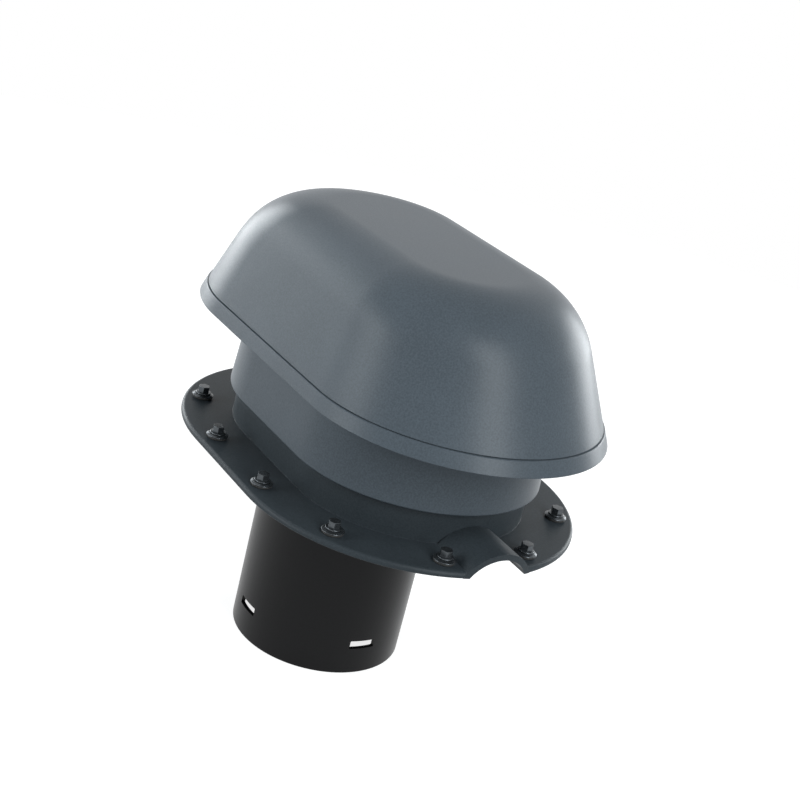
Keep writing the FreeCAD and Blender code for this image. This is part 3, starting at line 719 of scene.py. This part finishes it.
def make_rubber():
    """One rubber ring, squeezed a little so that its rim bulges."""
    hole = SCREW_SHANK / 2 + WASHER_GAP
    edge = RUBBER_DIAMETER / 2
    return turned(
        [
            (hole, FLANGE_THICKNESS),
            (edge, FLANGE_THICKNESS, RUBBER_ROUND),
            (edge, RUBBER_TOP, RUBBER_ROUND),
            (hole, RUBBER_TOP),
        ],
        WASHER_STEPS,
    )


def at_each_screw(model, name):
    """A copy of a model at each flange screw, joined into one piece."""
    return smooth(place(at_spots(model, flange_screw_spots()), name), SCREW_SMOOTH_ANGLE)


# materials
class Value:
    """A number that comes out of a shader node, for use in plain sums."""

    def __init__(self, graph, socket):
        self.graph = graph
        self.socket = socket

    def maths(self, operation, first, second):
        """The result of a Math node."""
        node = self.graph.add("ShaderNodeMath", {"operation": operation}, {0: first, 1: second})
        return Value(self.graph, node.outputs[0])

    def __add__(self, other):
        return self.maths("ADD", self, other)

    def __mul__(self, other):
        return self.maths("MULTIPLY", self, other)

    def __sub__(self, other):
        return self.maths("SUBTRACT", self, other)

    def __rsub__(self, other):
        return self.maths("SUBTRACT", other, self)

    __radd__ = __add__
    __rmul__ = __mul__


class Graph:
    """The node tree of a material or of the world."""

    def __init__(self, owner):
        owner.use_nodes = True
        self.owner = owner
        self.tree = owner.node_tree
        self.tree.nodes.clear()

    def add(self, kind, settings=None, inputs=None):
        """Make one node: settings first, then the values or links of its sockets."""
        node = self.tree.nodes.new(kind)
        for setting, value in (settings or {}).items():
            setattr(node, setting, value)
        for socket, value in (inputs or {}).items():
            target = node.inputs[socket]
            if isinstance(value, Value):
                value = value.socket
            if isinstance(value, bpy.types.NodeSocket):
                self.tree.links.new(value, target)
            else:
                target.default_value = value
        return node

    def noise(self, period_mm, detail=2.0, roughness=0.5):
        """Soft noise from 0 to 1 whose blotches are about this many millimetres wide."""
        here = self.add("ShaderNodeTexCoord").outputs["Object"]
        inputs = {"Vector": here, "Scale": 1 / (period_mm * MM), "Detail": detail, "Roughness": roughness}
        return Value(self, self.add("ShaderNodeTexNoise", {}, inputs).outputs[0])

    def blend(self, factor, first, second):
        """A colour between two."""
        inputs = {"Factor": factor, 6: first, 7: second}
        return self.add("ShaderNodeMix", {"data_type": "RGBA"}, inputs).outputs[2]

    def stretch(self, value, low, high):
        """Map a stretch of a value to 0 to 1, softly."""
        inputs = {"Value": value, "From Min": low, "From Max": high, "To Min": 0.0, "To Max": 1.0}
        node = self.add("ShaderNodeMapRange", {"interpolation_type": "SMOOTHSTEP"}, inputs)
        return Value(self, node.outputs["Result"])

    def uneven(self, shade, tone, darkest, lightest):
        """A shade that goes from its darkest share to its lightest with a tone from 0 to 1."""
        dark, light = [(*(part * share for part in shade), 1.0) for share in (darkest, lightest)]
        return self.blend(tone, dark, light)

    def finish(self, bump, bump_mm, **sockets):
        """The shader with its bump, and the output."""
        inputs = {name.replace("_", " "): value for name, value in sockets.items()}
        heights = {"Height": bump, "Strength": 1.0, "Distance": bump_mm * MM}
        inputs["Normal"] = self.add("ShaderNodeBump", {}, heights).outputs[0]
        shader = self.add("ShaderNodeBsdfPrincipled", {}, inputs)
        self.add("ShaderNodeOutputMaterial", {}, {"Surface": shader.outputs[0]})
        return self.owner


PLASTIC_IOR = 1.49
RUBBER_ROUGHNESS = 0.72
NOISE_MIDDLE = 0.5
FLECK_SHARE = 0.7


def swing(noise, amount):
    """A rise and fall about zero, from a noise of 0 to 1, of this amount in all."""
    return (noise - NOISE_MIDDLE) * amount


def moulded_plastic(name, shade, roughness, sheen, grain_mm=1.1, grain_depth=0.035):
    """Matt moulded plastic: a fine grain, flecks and a slow drift of shade, and a slightly uneven sheen."""
    graph = Graph(bpy.data.materials.new(name))
    grain = graph.noise(grain_mm, detail=3.0, roughness=0.65)
    drift = graph.noise(period_mm=45.0)
    fleck = graph.noise(period_mm=1.0)
    mixed = drift * (1 - FLECK_SHARE) + fleck * FLECK_SHARE
    base = graph.uneven(shade, graph.stretch(mixed, low=0.3, high=0.7), darkest=0.86, lightest=1.14)
    rough = roughness + swing(grain, 0.10) + swing(drift, 0.05)
    looks = {"Base_Color": base, "Roughness": rough, "IOR": PLASTIC_IOR, "Specular_IOR_Level": sheen}
    return graph.finish(bump=grain, bump_mm=grain_depth, **looks)


def coated_metal(name, shade, metallic, roughness):
    """Painted or plated metal with fine pits and a little unevenness."""
    graph = Graph(bpy.data.materials.new(name))
    pits = graph.noise(period_mm=0.35, detail=3.0)
    drift = graph.noise(period_mm=4.0)
    base = graph.uneven(shade, graph.stretch(drift, low=0.3, high=0.7), darkest=0.85, lightest=1.15)
    rough = roughness + swing(pits, 0.14)
    return graph.finish(bump=pits, bump_mm=0.008, Base_Color=base, Roughness=rough, Metallic=metallic)


def rubber(name, shade):
    """Matt black rubber with a fine bloom."""
    graph = Graph(bpy.data.materials.new(name))
    bloom = graph.noise(period_mm=3.0, detail=3.0)
    grain = graph.noise(period_mm=0.3)
    base = graph.uneven(shade, graph.stretch(bloom, low=0.35, high=0.7), darkest=0.85, lightest=1.4)
    rough = RUBBER_ROUGHNESS + swing(grain, 0.12)
    return graph.finish(bump=grain, bump_mm=0.015, Base_Color=base, Roughness=rough)


HOOD_SHADE = (0.071, 0.088, 0.104)
# The base moulding has the same blue-grey as the hood; this colour is about half as dark, as painted shade
# for the shadow that the hood casts on the flange and riser.
BASE_COLOUR_WITH_PAINTED_SHADE = (0.033, 0.041, 0.047)
PIPE_SHADE = (0.006, 0.006, 0.0065)
RUBBER_SHADE = (0.018, 0.018, 0.018)
SCREW_SHADE = (0.075, 0.083, 0.090)
ZINC_SHADE = (0.62, 0.62, 0.60)

hood_plastic = moulded_plastic("hood_plastic", HOOD_SHADE, 0.34, 0.17)
# A darker copy of the hood's plastic: its base colour carries painted shade.
base_plastic = moulded_plastic("base_plastic", BASE_COLOUR_WITH_PAINTED_SHADE, 0.4, 0.11)
pipe_plastic = moulded_plastic("pipe_plastic", PIPE_SHADE, 0.3, 0.15, grain_mm=1.2, grain_depth=0.012)
seal_rubber = rubber("seal_rubber", RUBBER_SHADE)
screw_metal = coated_metal("screw_metal", SCREW_SHADE, 0.8, 0.24)
washer_metal = coated_metal("washer_metal", SCREW_SHADE, 0.8, 0.26)
inner_screw_metal = coated_metal("inner_screw_metal", ZINC_SHADE, 1.0, 0.36)


def dress(piece, material, node):
    """Give a piece its material and hide the solid of the node that it stands for."""
    piece.data.materials.clear()
    piece.data.materials.append(material)
    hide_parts(node)


dress(make_hood_shell(), hood_plastic, "hood_shell")
dress(make_hood_rim(), hood_plastic, "hood_rim")
dress(make_weather_collar(), hood_plastic, "weather_collar")
# The flange, riser and socket wear the plastic with painted shade.
dress(make_base(), base_plastic, "base_flange")
dress(make_duct_pipe(), pipe_plastic, "duct_pipe")
dress(at_each_screw(make_screw(), "roofing_screws"), screw_metal, "flange_screws")
dress(at_each_screw(make_washer(), "dished_washers"), washer_metal, "screw_washers")
dress(at_each_screw(make_rubber(), "rubber_rings"), seal_rubber, "screw_seals")

# where a solid itself is shown, it wears the same material
node_materials = {
    "duct_pipe": pipe_plastic,
    "base_flange": base_plastic,
    "flange_gasket": seal_rubber,
    "pipe_seal": seal_rubber,
    "flange_screws": screw_metal,
    "screw_washers": washer_metal,
    "screw_seals": seal_rubber,
    "weather_collar": hood_plastic,
    "hood_screws": inner_screw_metal,
    "hood_shell": hood_plastic,
    "hood_rim": hood_plastic,
}
for node, material in node_materials.items():
    for material_slot in bpy.data.objects[node].material_slots:
        material_slot.material = material


# floor, light and camera, in metres
SEEN_RAYS = ("Is Camera Ray", "Is Glossy Ray", "Is Transmission Ray")
WHITE = (1, 1, 1, 1)
SKY_COLOUR = (0.93, 0.96, 1.0, 1)
SKY_LEVEL = 0.04
FLOOR_RADIUS = 1.4
FLOOR_SIDES = 96
FLOOR_PLAIN = (0.38, 0.38, 0.38, 1)
FLOOR_SHADOWED = (0.42, 0.42, 0.42, 1)
FLOOR_GLOW = 0.82
LAMP_DISTANCE = 2.2
LAMP_TINT = (0.94, 0.98, 1.0)

# each lamp's azimuth and elevation in degrees, width and height in metres, and power in watts
LAMPS = {
    "front_strip": (2, 34, 0.75, 2.1, 47),
    "back_right": (100, 10, 1.2, 1.0, 24),
    "back_left": (190, 11, 1.2, 1.2, 32),
    "side_low": (225, 9, 1.3, 1.1, 7),
    "side_high": (243, 26, 1.3, 0.8, 10),
    "near": (256, 14, 1.0, 1.1, 18),
}


def seen(graph):
    """1 for what the camera sees, also in reflections and through clear parts, and 0 for other rays."""
    path = graph.add("ShaderNodeLightPath")
    camera, gloss, clear = [Value(graph, path.outputs[kind]) for kind in SEEN_RAYS]
    return camera + gloss + clear


def mix_shaders(graph, factor, first, second):
    """A shader between two."""
    return graph.add("ShaderNodeMixShader", {}, {0: factor, 1: first.outputs[0], 2: second.outputs[0]})


def make_floor():
    """A round pale floor. The camera sees it white, with the part's shadow kept."""
    bpy.ops.mesh.primitive_circle_add(
        vertices=FLOOR_SIDES, radius=FLOOR_RADIUS, fill_type="NGON", location=(0, 0, -PIPE_DROP * MM)
    )
    floor = bpy.context.object
    floor.name = "studio_floor"
    graph = Graph(bpy.data.materials.new("floor_paper"))
    plain = graph.add("ShaderNodeBsdfDiffuse", {}, {"Color": FLOOR_PLAIN})
    shadowed = graph.add("ShaderNodeBsdfDiffuse", {}, {"Color": FLOOR_SHADOWED})
    glow = graph.add("ShaderNodeEmission", {}, {"Color": WHITE, "Strength": FLOOR_GLOW})
    bright = graph.add("ShaderNodeAddShader", {}, {0: shadowed.outputs[0], 1: glow.outputs[0]})
    paper = mix_shaders(graph, seen(graph), plain, bright)
    graph.add("ShaderNodeOutputMaterial", {}, {"Surface": paper.outputs[0]})
    floor.data.materials.append(graph.owner)


def make_sky():
    """Plain soft light from all round; the camera and reflections see white."""
    world = bpy.data.worlds.new("studio")
    bpy.context.scene.world = world
    graph = Graph(world)
    soft = graph.add("ShaderNodeBackground", {}, {"Color": SKY_COLOUR, "Strength": SKY_LEVEL})
    white = graph.add("ShaderNodeBackground", {}, {"Color": WHITE, "Strength": 1.0})
    sky = mix_shaders(graph, seen(graph), soft, white)
    graph.add("ShaderNodeOutputWorld", {}, {"Surface": sky.outputs[0]})


def direction(azimuth, elevation):
    """A direction from its compass angle and its height, both in degrees."""
    turn, rise = radians(azimuth), radians(elevation)
    return Vector((cos(rise) * cos(turn), cos(rise) * sin(turn), sin(rise)))


def soft_lamp(name, azimuth, elevation, width, height, power):
    """A rectangular lamp that looks at the part from a direction."""
    lamp = bpy.data.lights.new(name, "AREA")
    lamp.shape = "RECTANGLE"
    lamp.size = width
    lamp.size_y = height
    lamp.energy = power
    lamp.color = LAMP_TINT
    holder = bpy.data.objects.new(name, lamp)
    bpy.context.collection.objects.link(holder)
    towards = direction(azimuth, elevation)
    holder.location = towards * LAMP_DISTANCE
    holder.rotation_euler = towards.to_track_quat("Z", "Y").to_euler()


def make_camera():
    """The camera of the photograph, with its tilt."""
    back = direction(CAMERA_AZIMUTH, CAMERA_ELEVATION)
    level_right = Vector((0, 0, 1)).cross(back).normalized()
    level_up = back.cross(level_right)
    roll = radians(CAMERA_ROLL)
    right = cos(roll) * level_right + sin(roll) * level_up
    up = cos(roll) * level_up - sin(roll) * level_right
    place_mm = back * CAMERA_DISTANCE - right * CAMERA_SLIDE[0] - up * CAMERA_SLIDE[1]
    place_mm.z += CAMERA_BASE_HEIGHT
    camera = bpy.data.cameras.new("camera")
    camera.lens = CAMERA_LENS
    camera.sensor_width = CAMERA_SENSOR
    camera.sensor_fit = "HORIZONTAL"
    holder = bpy.data.objects.new("camera", camera)
    bpy.context.collection.objects.link(holder)
    turn = Matrix((right, up, back)).transposed().to_4x4()
    holder.matrix_world = Matrix.Translation(place_mm * MM) @ turn
    bpy.context.scene.camera = holder


make_floor()
make_sky()
for lamp_name, numbers in LAMPS.items():
    soft_lamp(lamp_name, *numbers)
make_camera()

scene = bpy.context.scene
scene.view_settings.view_transform = "Standard"

bpy.context.view_layer.update()
